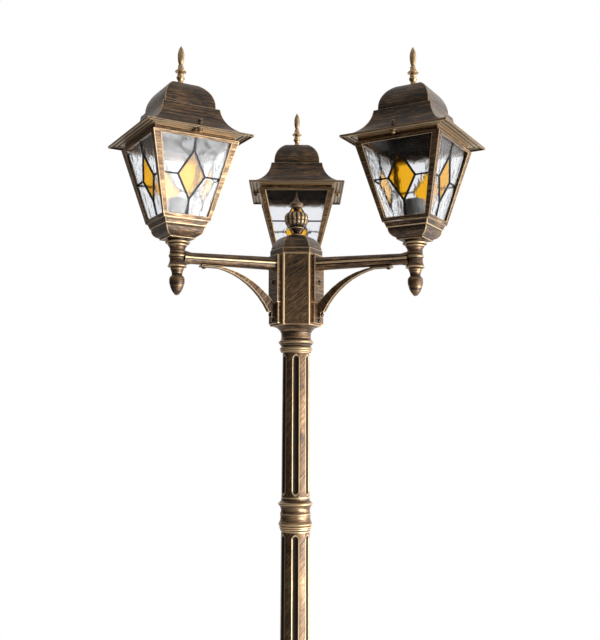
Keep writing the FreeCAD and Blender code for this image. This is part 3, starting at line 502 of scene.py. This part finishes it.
def onion_lobes(radius, height, angle):
    """Sixteen worn lobes on the onion: the radius drops by up to 8% where |sin 8a| nears 0."""
    low = 19.0
    high = 44.0
    belly = np.clip((height - low) / (high - low), 0, 1)
    depth = np.sqrt(np.sin(math.pi * belly))
    valley = (1 - np.abs(np.sin(8 * angle))) ** 1.6
    return radius * (1 - 0.08 * depth * valley), depth * (0.8 - 2.4 * valley)


def knurl(radius, height, angle):
    """Straight knurling on a thumb screw's head: eighteen ridges of 0.25 mm."""
    head = (radius > 2.9) * 1.0
    ridge = np.cos(18 * angle)
    return radius - head * 0.25 * (1 - ridge) / 2, head * ridge * 0.6


def round_thread(radius, height, angle):
    """Screw shell's rolled thread: a cosine of pitch 3.63 mm that climbs once a turn."""
    wave = np.cos(2 * math.pi * height / 3.63 - angle)
    return radius + 0.3 * wave, 0 * wave


def cage_side(piece, turn):
    """One leaning frame: rings of four corners, from its rim to its window and back through its wall.

    A ring lies across of the way from the rim to the window and depth in along the wall's normal.
    """
    rim = np.array([[-CAGE_LOW_HALF, CAGE_LOW], [CAGE_LOW_HALF, CAGE_LOW],
                    [CAGE_HIGH_HALF, CAGE_HIGH], [-CAGE_HIGH_HALF, CAGE_HIGH]])
    window = np.array([[-36.09, 42.0], [36.09, 42.0], [61.93, 164.5], [-61.93, 164.5]])
    across = np.array([0.0, 0.16, 0.8, 0.93, 1.0, 1.0, 1.0, 0.93, 0.05])
    depth = np.array([0.0, 0.0, 0.0, 0.0, 0.6, 2.0, 3.6, 4.1, 4.1])
    wear_and_painted_light = np.array([1.0, 0.0, 0.0, 0.8, 1.0, 0.0, 0.0, 0.0, -1.0])
    plan = rim + across[:, None, None] * (window - rim)
    slope = (CAGE_HIGH_HALF - CAGE_LOW_HALF) / (CAGE_HIGH - CAGE_LOW)
    lean = -(CAGE_LOW_HALF + slope * (plan[..., 1] - CAGE_LOW))
    inward = depth[:, None] / math.hypot(1, slope)
    points = np.stack([plan[..., 0], lean + inward, plan[..., 1] + slope * inward], -1)
    faces = grid_faces(len(across), 4, True)
    return piece.add(about_z(points, turn), faces, wear_and_painted_light[:, None], short_strokes)


# ---------------------------------------------------------------- finishes

class Signal:
    """A node output that arithmetic can be written on."""

    def __init__(self, finish, socket):
        self.finish = finish
        self.socket = socket

    def _with(self, operation, *values):
        return self.finish.node("ShaderNodeMath", {"operation": operation}, dict(enumerate(values)))

    def __add__(self, other):
        return self._with("ADD", self, other)

    def __sub__(self, other):
        return self._with("SUBTRACT", self, other)

    def __rsub__(self, other):
        return self._with("SUBTRACT", other, self)

    def __mul__(self, other):
        return self._with("MULTIPLY", self, other)

    def __pow__(self, other):
        return self._with("POWER", self, other)

    __radd__ = __add__
    __rmul__ = __mul__

    def most(self, other):
        return self._with("MAXIMUM", self, other)

    def ease(self, low, high):
        """0 at low, 1 at high, smooth between and held outside."""
        return self.finish.node("ShaderNodeMapRange", {"interpolation_type": "SMOOTHSTEP"},
                                {0: self, 1: low, 2: high, 3: 0.0, 4: 1.0})


class Finish:
    """A material, or a world, and its nodes."""

    def __init__(self, name, world=None):
        self.material = world or bpy.data.materials.new(name)
        self.material.use_nodes = True
        self.tree = self.material.node_tree
        self.tree.nodes.clear()

    def node(self, kind, options=None, inputs=None, output=0):
        """Adds a node, sets its options, then feeds its sockets with values or links."""
        made = self.tree.nodes.new(kind)
        for key, value in (options or {}).items():
            setattr(made, key, value)
        for key, value in (inputs or {}).items():
            if isinstance(value, Signal):
                self.tree.links.new(value.socket, made.inputs[key])
            else:
                made.inputs[key].default_value = value
        return Signal(self, made.outputs[output]) if len(made.outputs) else None

    def place(self):
        """Where on the post a point lies, in metres."""
        return self.node("ShaderNodeTexCoord", output="Object")

    def attribute(self, name, output):
        return self.node("ShaderNodeAttribute", {"attribute_name": name}, output=output)

    def axes(self, vector):
        made = self.node("ShaderNodeSeparateXYZ", inputs={0: vector})
        sockets = made.socket.node.outputs
        return [Signal(self, sockets[axis]) for axis in range(3)]

    def stretched(self, vector, factors):
        return self.node("ShaderNodeVectorMath", {"operation": "MULTIPLY"}, {0: vector, 1: factors})

    def noise(self, vector, scale=1.0, detail=3.0, roughness=0.6, distortion=0.0):
        return self.node("ShaderNodeTexNoise", inputs={"Vector": vector, "Scale": scale, "Detail": detail,
                                                       "Roughness": roughness, "Distortion": distortion})

    def blend(self, factor, first, second):
        return self.node("ShaderNodeMix", {"data_type": "RGBA"}, {0: factor, 6: first, 7: second}, 2)

    def bump(self, height, distance, strength=1.0):
        inputs = {"Height": height, "Distance": distance, "Strength": strength}
        return self.node("ShaderNodeBump", inputs=inputs)

    def surface(self, inputs):
        shader = self.node("ShaderNodeBsdfPrincipled", inputs=inputs)
        self.node("ShaderNodeOutputMaterial", inputs={0: shader})
        return self.material


def rgba(colour):
    """A colour with full opacity."""
    return (*colour, 1.0)


def antique(name, colours, cover, carried=False, edges=1.0, grain=1.0, soft=0.07):
    """Black-brown paint dry-brushed with bronze and gold: strokes, worn edges and dark hollows.

    More cover leaves more bronze, grain is how fine the strokes are, soft how gently they end, and edges
    how much gold the worn edges have. A carried piece has no wear or strokes of its own.
    """
    finish = Finish(name)
    place = finish.place()
    if carried:
        strokes = finish.stretched(place, (38.0, 38.0, 590.0))
    else:
        strokes = finish.attribute("strokes", "Vector")
    broad = finish.noise(strokes, scale=0.8 * grain, detail=4.0, roughness=0.65, distortion=0.2)
    fine = finish.noise(strokes, scale=2.6 * grain, roughness=0.7)
    patches = finish.noise(place, scale=22.0, detail=2.0, roughness=0.5)
    brushed = broad * 0.45 + fine * 0.55 + (patches - 0.5) * 0.2 + (cover - 0.5) * 0.3
    bronze = brushed.ease(0.48 - soft, 0.48 + soft)
    gold = brushed.ease(0.53, 0.72) * 0.75
    colour = finish.blend(bronze, rgba(colours.black), rgba(colours.bronze))
    if carried:
        colour = finish.blend(gold, colour, rgba(colours.gold))
    else:
        # Gold and black from this attribute: worn edges and dark hollows, and on the roofs painted shade
        # inside and a painted highlight under the eaves.
        wear_and_painted_light = finish.attribute("wear_and_painted_light", "Fac")
        gold = gold.most(wear_and_painted_light.ease(0.1, 1.0) * (fine * 0.9 + 0.55) * edges)
        colour = finish.blend(gold, colour, rgba(colours.gold))
        colour = finish.blend((wear_and_painted_light * -1.0).ease(0.1, 0.8) * 0.95, colour, rgba(colours.black))
    grit = finish.noise(place, 900.0, 2.0, 0.6)
    return finish.surface({
        "Base Color": colour,
        "Metallic": bronze * 0.4 + 0.4,
        "Roughness": 0.40 - gold * 0.1 + fine * 0.08,
        "Coat Weight": 0.12,
        "Coat Roughness": 0.2,
        "Normal": finish.bump(broad * 0.5 + fine * 0.5 + grit * 0.25, 0.0006, 0.4),
    })


def cathedral_glass(name, colour, ripple):
    """Water-textured glass: ripples run down the pane and bend what shows behind."""
    finish = Finish(name)
    place = finish.place()
    slow = finish.noise(finish.stretched(place, (85.0, 85.0, 34.0)), detail=1.0, roughness=0.4,
                        distortion=0.6)
    quick = finish.noise(finish.stretched(place, (300.0, 300.0, 60.0)), detail=1.0, roughness=0.5,
                         distortion=0.2)
    normal = finish.bump(slow * 0.86 + quick * 0.14, ripple, 1.0)
    return finish.surface({
        "Base Color": rgba(colour),
        "Roughness": 0.12,
        "IOR": 1.46,
        "Transmission Weight": 1.0,
        "Normal": normal,
    })


def plain_metal(name, colour, roughness):
    """Turned or plated metal with a fine lay."""
    finish = Finish(name)
    place = finish.place()
    lay = finish.noise(finish.stretched(place, (60.0, 60.0, 2400.0)), 1.0, 2.0, 0.6)
    tone = finish.noise(place, 45.0, 2.0, 0.5)
    colour = finish.blend(tone * 0.35, rgba(colour), rgba([channel * 0.55 for channel in colour]))
    return finish.surface({
        "Base Color": colour,
        "Metallic": 1.0,
        "Roughness": roughness + lay * 0.12,
        "Normal": finish.bump(lay, 0.0002, 0.3),
    })


def glazed(name, colour, roughness):
    """Moulded or fired insulator: slight tone and surface change."""
    finish = Finish(name)
    place = finish.place()
    tone = finish.noise(place, 30.0, 3.0, 0.5)
    pits = finish.noise(place, 700.0, 2.0, 0.5)
    colour = finish.blend(tone * 0.4, rgba(colour), rgba([channel * 0.75 for channel in colour]))
    return finish.surface({
        "Base Color": colour,
        "Roughness": roughness + pits * 0.1,
        "Normal": finish.bump(pits, 0.0001, 0.3),
    })


# ---------------------------------------------------------------- settings

def colour_setting(name, description, default):
    """A colour that a user can change."""
    return bpy.props.FloatVectorProperty(name=name, description=description, subtype="COLOR", size=3,
                                         default=default, min=0, max=1)


class LampPostColours(bpy.types.PropertyGroup):
    """Colours of the finishes."""
    black: colour_setting("Undercoat", "Black-brown undercoat of the castings", (0.012, 0.008, 0.006))
    bronze: colour_setting("Bronze", "Bronze brushed over the undercoat", (0.17, 0.098, 0.05))
    gold: colour_setting("Gold", "Gold of worn edges and bright strokes", (0.76, 0.55, 0.31))
    amber: colour_setting("Amber glass", "Colour of the diamonds", (1.0, 0.5, 0.02))
    clear: colour_setting("Clear glass", "Tint of the clear quarries", (0.97, 0.98, 1.0))


class LampPostSizes(bpy.types.PropertyGroup):
    """Sizes of surface detail."""
    ripple: bpy.props.FloatProperty(name="Ripple", description="Height of the glass's ripples",
                                    subtype="DISTANCE", unit="LENGTH", default=0.0012, min=0.0, max=0.01)
    segments: bpy.props.IntProperty(name="Segments", description="Sides of the collar and the hub's neck",
                                    default=96, min=24, max=256)


def settings(context):
    """The colours and the sizes that the scene holds."""
    return context.scene.lamp_post_colours, context.scene.lamp_post_sizes


def dress(material, *names):
    """Gives carried-over pieces of the frame a finish."""
    for name in names:
        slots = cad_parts[name].data.materials
        slots.clear()
        slots.append(material)


# How each group of castings is painted.
CASTINGS = {
    "brushed bronze castings": {"cover": 0.5, "grain": 0.65},
    "brushed bronze poles": {"cover": 0.56, "edges": 1.2, "grain": 0.65},
    "brushed bronze roofs": {"cover": 0.38, "edges": 0.4, "grain": 0.75},
    "brushed bronze trays": {"cover": 0.42, "edges": 0.7, "grain": 0.85, "soft": 0.055},
    "brushed gold cages": {"cover": 0.57, "edges": 0.75, "grain": 0.85, "soft": 0.055},
    "worn gold spears": {"cover": 1.0, "grain": 0.6},
}


def casting_finish(context, name):
    """The painted finish of that name, made once."""
    return bpy.data.materials.get(name) or antique(name, settings(context)[0], **CASTINGS[name])


def brass_finish():
    """The lampholders' brass, made once."""
    return bpy.data.materials.get("brass") or plain_metal("brass", (0.72, 0.50, 0.20), 0.3)


# ---------------------------------------------------------------- operators

class LAMPPOST_OT_shafts(bpy.types.Operator):
    """Build the fluted poles and the collar between them"""
    bl_idname = "lamppost.shafts"
    bl_label = "Poles and collar"

    def execute(self, context):
        bright = casting_finish(context, "brushed bronze poles")
        low = shaft(Piece(), LOWER_POLE_BASE, LOWER_POLE_LENGTH, low_radius=29.0, high_radius=25.0)
        low.make("lower_shaft", "post", "lower_pole", "cast_bronze", bright, crease=35)
        high = shaft(Piece(), UPPER_POLE_BASE, UPPER_POLE_LENGTH, low_radius=24.8, high_radius=24.0)
        high.make("upper_shaft", "post", "upper_pole", "cast_bronze", bright, crease=35)
        ring = turned(Piece(), COLLAR, settings(context)[1].segments, closed=True, base=COLLAR_BASE)
        ring.make("shaft_collar", "post", "collar", "cast_bronze", bright)
        return {"FINISHED"}


class LAMPPOST_OT_hub(bpy.types.Operator):
    """Build the hub: neck, six-sided box with corner beads, cap and finial"""
    bl_idname = "lamppost.hub"
    bl_label = "Hub"

    def execute(self, context):
        cast = casting_finish(context, "brushed bronze castings")
        roof = casting_finish(context, "brushed bronze roofs")
        dark = casting_finish(context, "brushed bronze trays")
        box = turned(Piece(), HUB_NECK, settings(context)[1].segments, base=NECK_BASE)
        mitred(box, HUB_BOX, sides=6, turn=30, closed=False, base=HUB_BASE, strokes=slanting_strokes)
        for corner in range(6):
            angle = math.radians(60 * corner)
            centre = (BEAD_RING * math.cos(angle), BEAD_RING * math.sin(angle))
            turned(box, CORNER_BEAD, 20, centre=centre, base=HUB_BASE, soft=0.3, reach=0.6)
            box.wear_and_painted_light[-1] = 0 * box.wear_and_painted_light[-1] + 1
        box.make("hub_box", "post", "hub_body", "cast_bronze", cast)
        cap = mitred(Piece(), HUB_CAP, sides=6, turn=30, base=CAP_BASE, soft=0.8)
        cap.make("hub_dome", "post", "hub_cap", "roof_bronze", roof)
        knob = turned(Piece(), HUB_FINIAL, 160, relief=onion_lobes, base=HUB_FINIAL_BASE, soft=0.4, reach=1.0)
        knob.make("hub_onion", "post", "hub_finial", "cast_bronze", dark)
        return {"FINISHED"}


class LAMPPOST_OT_arms(bpy.types.Operator):
    """Build the bracket arms with their eyes, the crescent braces and the acorns"""
    bl_idname = "lamppost.arms"
    bl_label = "Arms and braces"

    def execute(self, context):
        cast = casting_finish(context, "brushed bronze castings")
        for name, angle in ARM_ANGLES.items():
            arm = slab(Piece(), ARM_FACE, HUB_APOTHEM, HUB_APOTHEM + ARM_PLATE, upright)
            arm_tube(arm)
            turned(arm, EYE, centre=(ARM_REACH, 0), base=LAMP_SEAT)
            arm.make(name + "_arm_casting", "post", name + "_arm", "cast_bronze", cast, angle)
            brace = slab(Piece(), BRACE_FOOT, HUB_APOTHEM, HUB_APOTHEM + BRACE_PLATE, upright)
            slab(brace, WEB, -WEB_HALF, WEB_HALF, sideways, strokes=web_strokes)
            slab(brace, TAB, -TAB_HALF, TAB_HALF, sideways, soft=0.3, reach=0.8)
            brace.make(name + "_crescent", "post", name + "_brace", "cast_bronze", cast, angle)
            acorn = turned(Piece(), ACORN, centre=(ARM_REACH, 0), base=LAMP_SEAT)
            acorn.make(name + "_acorn", "post", name + "_acorn_nut", "cast_bronze", cast, angle)
        return {"FINISHED"}


class LAMPPOST_OT_cages(bpy.types.Operator):
    """Build the trays and the four-sided cages with their necks and lugs"""
    bl_idname = "lamppost.cages"
    bl_label = "Trays and cages"

    def execute(self, context):
        gilt = casting_finish(context, "brushed gold cages")
        dark = casting_finish(context, "brushed bronze trays")
        for name, angle in ARM_ANGLES.items():
            pan = turned(Piece(), TRAY_FOOT)
            mitred(pan, TRAY, closed=False, strokes=short_strokes)
            pan.make(name + "_pan", "post", name + "_tray", "cage_bronze", dark, angle, ARM_REACH, LAMP_SEAT)
            cage = mitred(Piece(), NECK)
            for side in range(4):
                cage_side(cage, 90 * side)
            for side in (1, -1):
                slab(cage, LUG, LUG_LOW, LUG_HIGH, lambda u, v, w: np.stack([side * u, side * v, w], -1),
                     soft=0.3, reach=0.8)
            cage.make(name + "_frame", "post", name + "_cage", "cage_bronze", gilt, angle, ARM_REACH,
                      LAMP_SEAT, crease=30)
        return {"FINISHED"}


class LAMPPOST_OT_roofs(bpy.types.Operator):
    """Build the mitred roofs with their screw bosses and spear finials"""
    bl_idname = "lamppost.roofs"
    bl_label = "Roofs"

    def execute(self, context):
        brown = casting_finish(context, "brushed bronze roofs")
        worn = casting_finish(context, "worn gold spears")
        for name, angle in ARM_ANGLES.items():
            body = "roof_" + name
            # The roof's inner faces get painted shade and the undersides of its eaves a painted highlight.
            roof = mitred(Piece(), ROOF, painted_shade_and_highlight=True)
            for side in (1, -1):
                turned(roof, SCREW_BOSS, 24, centre=(0, SCREW_REACH * side), soft=0.3, reach=0.8)
            roof.make(name + "_shell", body, name + "_roof", "roof_bronze", brown, angle, ARM_REACH,
                      LAMP_SEAT)
            spear = turned(Piece(), ROOF_FINIAL, 64, base=ROOF_FINIAL_BASE, soft=0.3, reach=0.8,
                           strokes=standing_strokes)
            spear.make(name + "_spear", body, name + "_roof_finial", "cage_bronze", worn, angle, ARM_REACH,
                       LAMP_SEAT)
        return {"FINISHED"}


class LAMPPOST_OT_screws(bpy.types.Operator):
    """Build the knurled thumb screws"""
    bl_idname = "lamppost.screws"
    bl_label = "Thumb screws"

    def execute(self, context):
        bronzed = plain_metal("bronzed thumb screws", (0.42, 0.30, 0.16), 0.3)
        for name, angle in ARM_ANGLES.items():
            for letter, side in (("a", 1), ("b", -1)):
                screw = turned(Piece(), SCREW_HEAD, 108, relief=knurl, centre=(0, SCREW_REACH * side),
                               soft=0.2, reach=0.5)
                screw.make(name + "_knurled_" + letter, "screw_" + name + "_" + letter,
                           name + "_thumb_screw_" + letter, "brass", bronzed, angle, ARM_REACH, LAMP_SEAT)
        return {"FINISHED"}


class LAMPPOST_OT_holders(bpy.types.Operator):
    """Build the lampholders and their threaded shells"""
    bl_idname = "lamppost.holders"
    bl_label = "Lampholders"

    def execute(self, context):
        porcelain = glazed("glazed insulator", (0.24, 0.24, 0.24), 0.3)
        for name, angle in ARM_ANGLES.items():
            holder = turned(Piece(), HOLDER, 64, closed=True)
            holder.make(name + "_insulator", "post", name + "_lampholder", "porcelain", porcelain, angle,
                        ARM_REACH, LAMP_SEAT)
            shell = turned(Piece(), THREAD, 48, closed=True, relief=round_thread)
            shell.make(name + "_shell_thread", "post", name + "_screw_shell", "brass", brass_finish(), angle,
                       ARM_REACH, LAMP_SEAT)
        return {"FINISHED"}


class LAMPPOST_OT_carried(bpy.types.Operator):
    """Finish the pieces that are shown as the frame has them"""
    bl_idname = "lamppost.carried"
    bl_label = "Carried-over pieces"

    def execute(self, context):
        colours, sizes = settings(context)
        cast = antique("cast bronze, carried", colours, 0.5, carried=True)
        zinc = plain_metal("zinc-plated steel", (0.45, 0.45, 0.46), 0.35)
        steel = plain_metal("bronzed steel", (0.07, 0.055, 0.04), 0.2)
        brass = brass_finish()
        lead = plain_metal("dark came", (0.045, 0.045, 0.05), 0.45)
        nylon = glazed("nylon", (0.72, 0.71, 0.66), 0.5)
        clear = cathedral_glass("clear cathedral glass", colours.clear, sizes.ripple)
        amber = cathedral_glass("amber cathedral glass", colours.amber, sizes.ripple * 0.6)
        dress(cast, "foot_casting")
        dress(steel, "arm_screws")
        dress(zinc, "hub_rod")
        dress(nylon, "terminal_block")
        for arm in ARM_ANGLES:
            dress(zinc, arm + "_hollow_bolt")
            dress(brass, arm + "_contact")
            dress(lead, arm + "_came")
            dress(clear, arm + "_clear_panes")
            dress(amber, arm + "_amber_panes")
        return {"FINISHED"}


class LAMPPOST_OT_stage(bpy.types.Operator):
    """Floor, soft studio light and the camera"""
    bl_idname = "lamppost.stage"
    bl_label = "Studio"

    def execute(self, context):
        make_floor()
        make_light()
        make_camera()
        return {"FINISHED"}


def make_floor():
    """Pale round floor that keeps the shadow and fades to white at its rim."""
    finish = Finish("pale floor")
    x, y, _ = finish.axes(finish.place())
    distance = (x ** 2 + y ** 2) ** 0.5
    seen = finish.node("ShaderNodeLightPath", output="Is Camera Ray")
    fade = distance.ease(1.0, 2.9) * seen
    diffuse = finish.node("ShaderNodeBsdfDiffuse", inputs={"Color": (0.8, 0.8, 0.8, 1.0)})
    white = finish.node("ShaderNodeEmission", inputs={"Color": (1.0, 1.0, 1.0, 1.0), "Strength": 1.0})
    shader = finish.node("ShaderNodeMixShader", inputs={0: fade, 1: diffuse, 2: white})
    finish.node("ShaderNodeOutputMaterial", inputs={0: shader})
    sides = 96
    radius = 3.0
    angle = np.linspace(0, 2 * math.pi, sides, endpoint=False)
    rim = np.stack([radius * np.cos(angle), radius * np.sin(angle), 0 * angle], 1)
    mesh = bpy.data.meshes.new("floor")
    mesh.from_pydata(rim.tolist(), [], [tuple(range(sides))])
    mesh.materials.append(finish.material)
    floor = bpy.data.objects.new("floor", mesh)
    bpy.context.scene.collection.objects.link(floor)


def soft_box(name, place, target, width, height, power):
    """Rectangular area light that faces a target."""
    lamp = bpy.data.lights.new(name, "AREA")
    lamp.shape = "RECTANGLE"
    lamp.size = width
    lamp.size_y = height
    lamp.energy = power
    made = bpy.data.objects.new(name, lamp)
    made.location = place
    made.rotation_mode = "QUATERNION"
    made.rotation_quaternion = (Vector(target) - Vector(place)).to_track_quat("-Z", "Y")
    bpy.context.scene.collection.objects.link(made)


def make_light():
    """A large soft box on the right, a weak one behind on the left, and a world brighter behind and right.

    The world's x points right in the picture, y away from the camera and z up. What is seen directly or
    through the glass is plain white.
    """
    world = bpy.data.worlds.new("studio")
    bpy.context.scene.world = world
    studio = Finish("studio", world)
    x, y, z = studio.axes(studio.node("ShaderNodeTexCoord", output="Generated"))
    path = {key: studio.node("ShaderNodeLightPath", output=key) for key in
            ("Is Camera Ray", "Is Transmission Ray", "Glossy Depth", "Diffuse Depth")}
    straight = (path["Glossy Depth"] + path["Diffuse Depth"]).ease(1.0, 0.0)
    seen = path["Is Camera Ray"].most(path["Is Transmission Ray"] * straight)
    right = (x.ease(0.0, 0.9) * 0.7 + x.ease(0.8, 1.0) * 1.4) * (1.0 - z.ease(0.3, 0.9) * 0.7)
    behind = y.ease(0.45, 1.0) * 0.8 + x.ease(0.2, 0.6) * y.ease(0.45, 0.8) * 0.8
    level = right + behind + z.ease(0.0, 0.9) * 0.6 + 0.03
    warm = studio.node("ShaderNodeBackground", inputs={"Color": (1.0, 0.97, 0.95, 1.0), "Strength": level})
    white = studio.node("ShaderNodeBackground", inputs={"Color": (1.0, 1.0, 1.0, 1.0), "Strength": 1.0})
    shader = studio.node("ShaderNodeMixShader", inputs={0: seen, 1: warm, 2: white})
    studio.node("ShaderNodeOutputWorld", inputs={0: shader})
    soft_box("key", (2.5, -1.3, 0.6), (0.0, 0.0, 1.85), 2.8, 2.2, 175.0)
    soft_box("rim", (-1.6, 2.4, 2.6), (0.0, 0.0, 1.9), 1.4, 1.4, 6.0)


def make_camera():
    """Camera at the photograph's viewing angle: a lens below the hub, tilted up a little."""
    focal_pixels = 932
    picture_pixels = 640
    aim_height = 1.824
    distance = 1.683
    elevation = math.radians(-7.5)
    azimuth = math.radians(0.08)
    pitch = math.radians(6.56)
    yaw = math.radians(-0.24)
    roll = math.radians(0.19)
    level = distance * math.cos(elevation)
    place = Vector((level * math.sin(azimuth), -level * math.cos(azimuth),
                    aim_height + distance * math.sin(elevation)))
    heading = azimuth + yaw
    forward = Vector((-math.sin(heading) * math.cos(pitch), math.cos(heading) * math.cos(pitch),
                      math.sin(pitch)))
    across = Vector((math.cos(heading), math.sin(heading), 0.0))
    above = across.cross(forward)
    right = across * math.cos(roll) + above * math.sin(roll)
    up = above * math.cos(roll) - across * math.sin(roll)
    lens = bpy.data.cameras.new("camera")
    lens.sensor_width = 36.0
    lens.lens = focal_pixels / picture_pixels * lens.sensor_width
    lens.clip_start = 0.05
    camera = bpy.data.objects.new("camera", lens)
    camera.matrix_world = Matrix((
        (right.x, up.x, -forward.x, place.x),
        (right.y, up.y, -forward.y, place.y),
        (right.z, up.z, -forward.z, place.z),
        (0.0, 0.0, 0.0, 1.0)))
    bpy.context.scene.collection.objects.link(camera)
    bpy.context.scene.camera = camera


class LAMPPOST_PT_panel(bpy.types.Panel):
    """Lists the pieces of the lamp post and their settings"""
    bl_label = "Lamp post"
    bl_idname = "LAMPPOST_PT_panel"
    bl_space_type = "VIEW_3D"
    bl_region_type = "UI"
    bl_category = "Lamp post"

    def draw(self, context):
        colours, sizes = settings(context)
        for group in (colours, sizes):
            for name in group.bl_rna.properties.keys():
                if name not in ("rna_type", "name"):
                    self.layout.prop(group, name)
        for operator in OPERATORS:
            self.layout.operator(operator.bl_idname)


OPERATORS = (LAMPPOST_OT_shafts, LAMPPOST_OT_hub, LAMPPOST_OT_arms, LAMPPOST_OT_cages, LAMPPOST_OT_roofs,
             LAMPPOST_OT_screws, LAMPPOST_OT_holders, LAMPPOST_OT_carried, LAMPPOST_OT_stage)
CLASSES = (LampPostColours, LampPostSizes, *OPERATORS, LAMPPOST_PT_panel)


def register():
    for each in CLASSES:
        bpy.utils.register_class(each)
    bpy.types.Scene.lamp_post_colours = bpy.props.PointerProperty(type=LampPostColours)
    bpy.types.Scene.lamp_post_sizes = bpy.props.PointerProperty(type=LampPostSizes)


def unregister():
    del bpy.types.Scene.lamp_post_sizes
    del bpy.types.Scene.lamp_post_colours
    for each in reversed(CLASSES):
        bpy.utils.unregister_class(each)


def main():
    register()
    bpy.context.scene.view_settings.view_transform = "Standard"
    for operator in OPERATORS:
        group, name = operator.bl_idname.split(".")
        getattr(getattr(bpy.ops, group), name)()


if __name__ == "__main__":
    main()
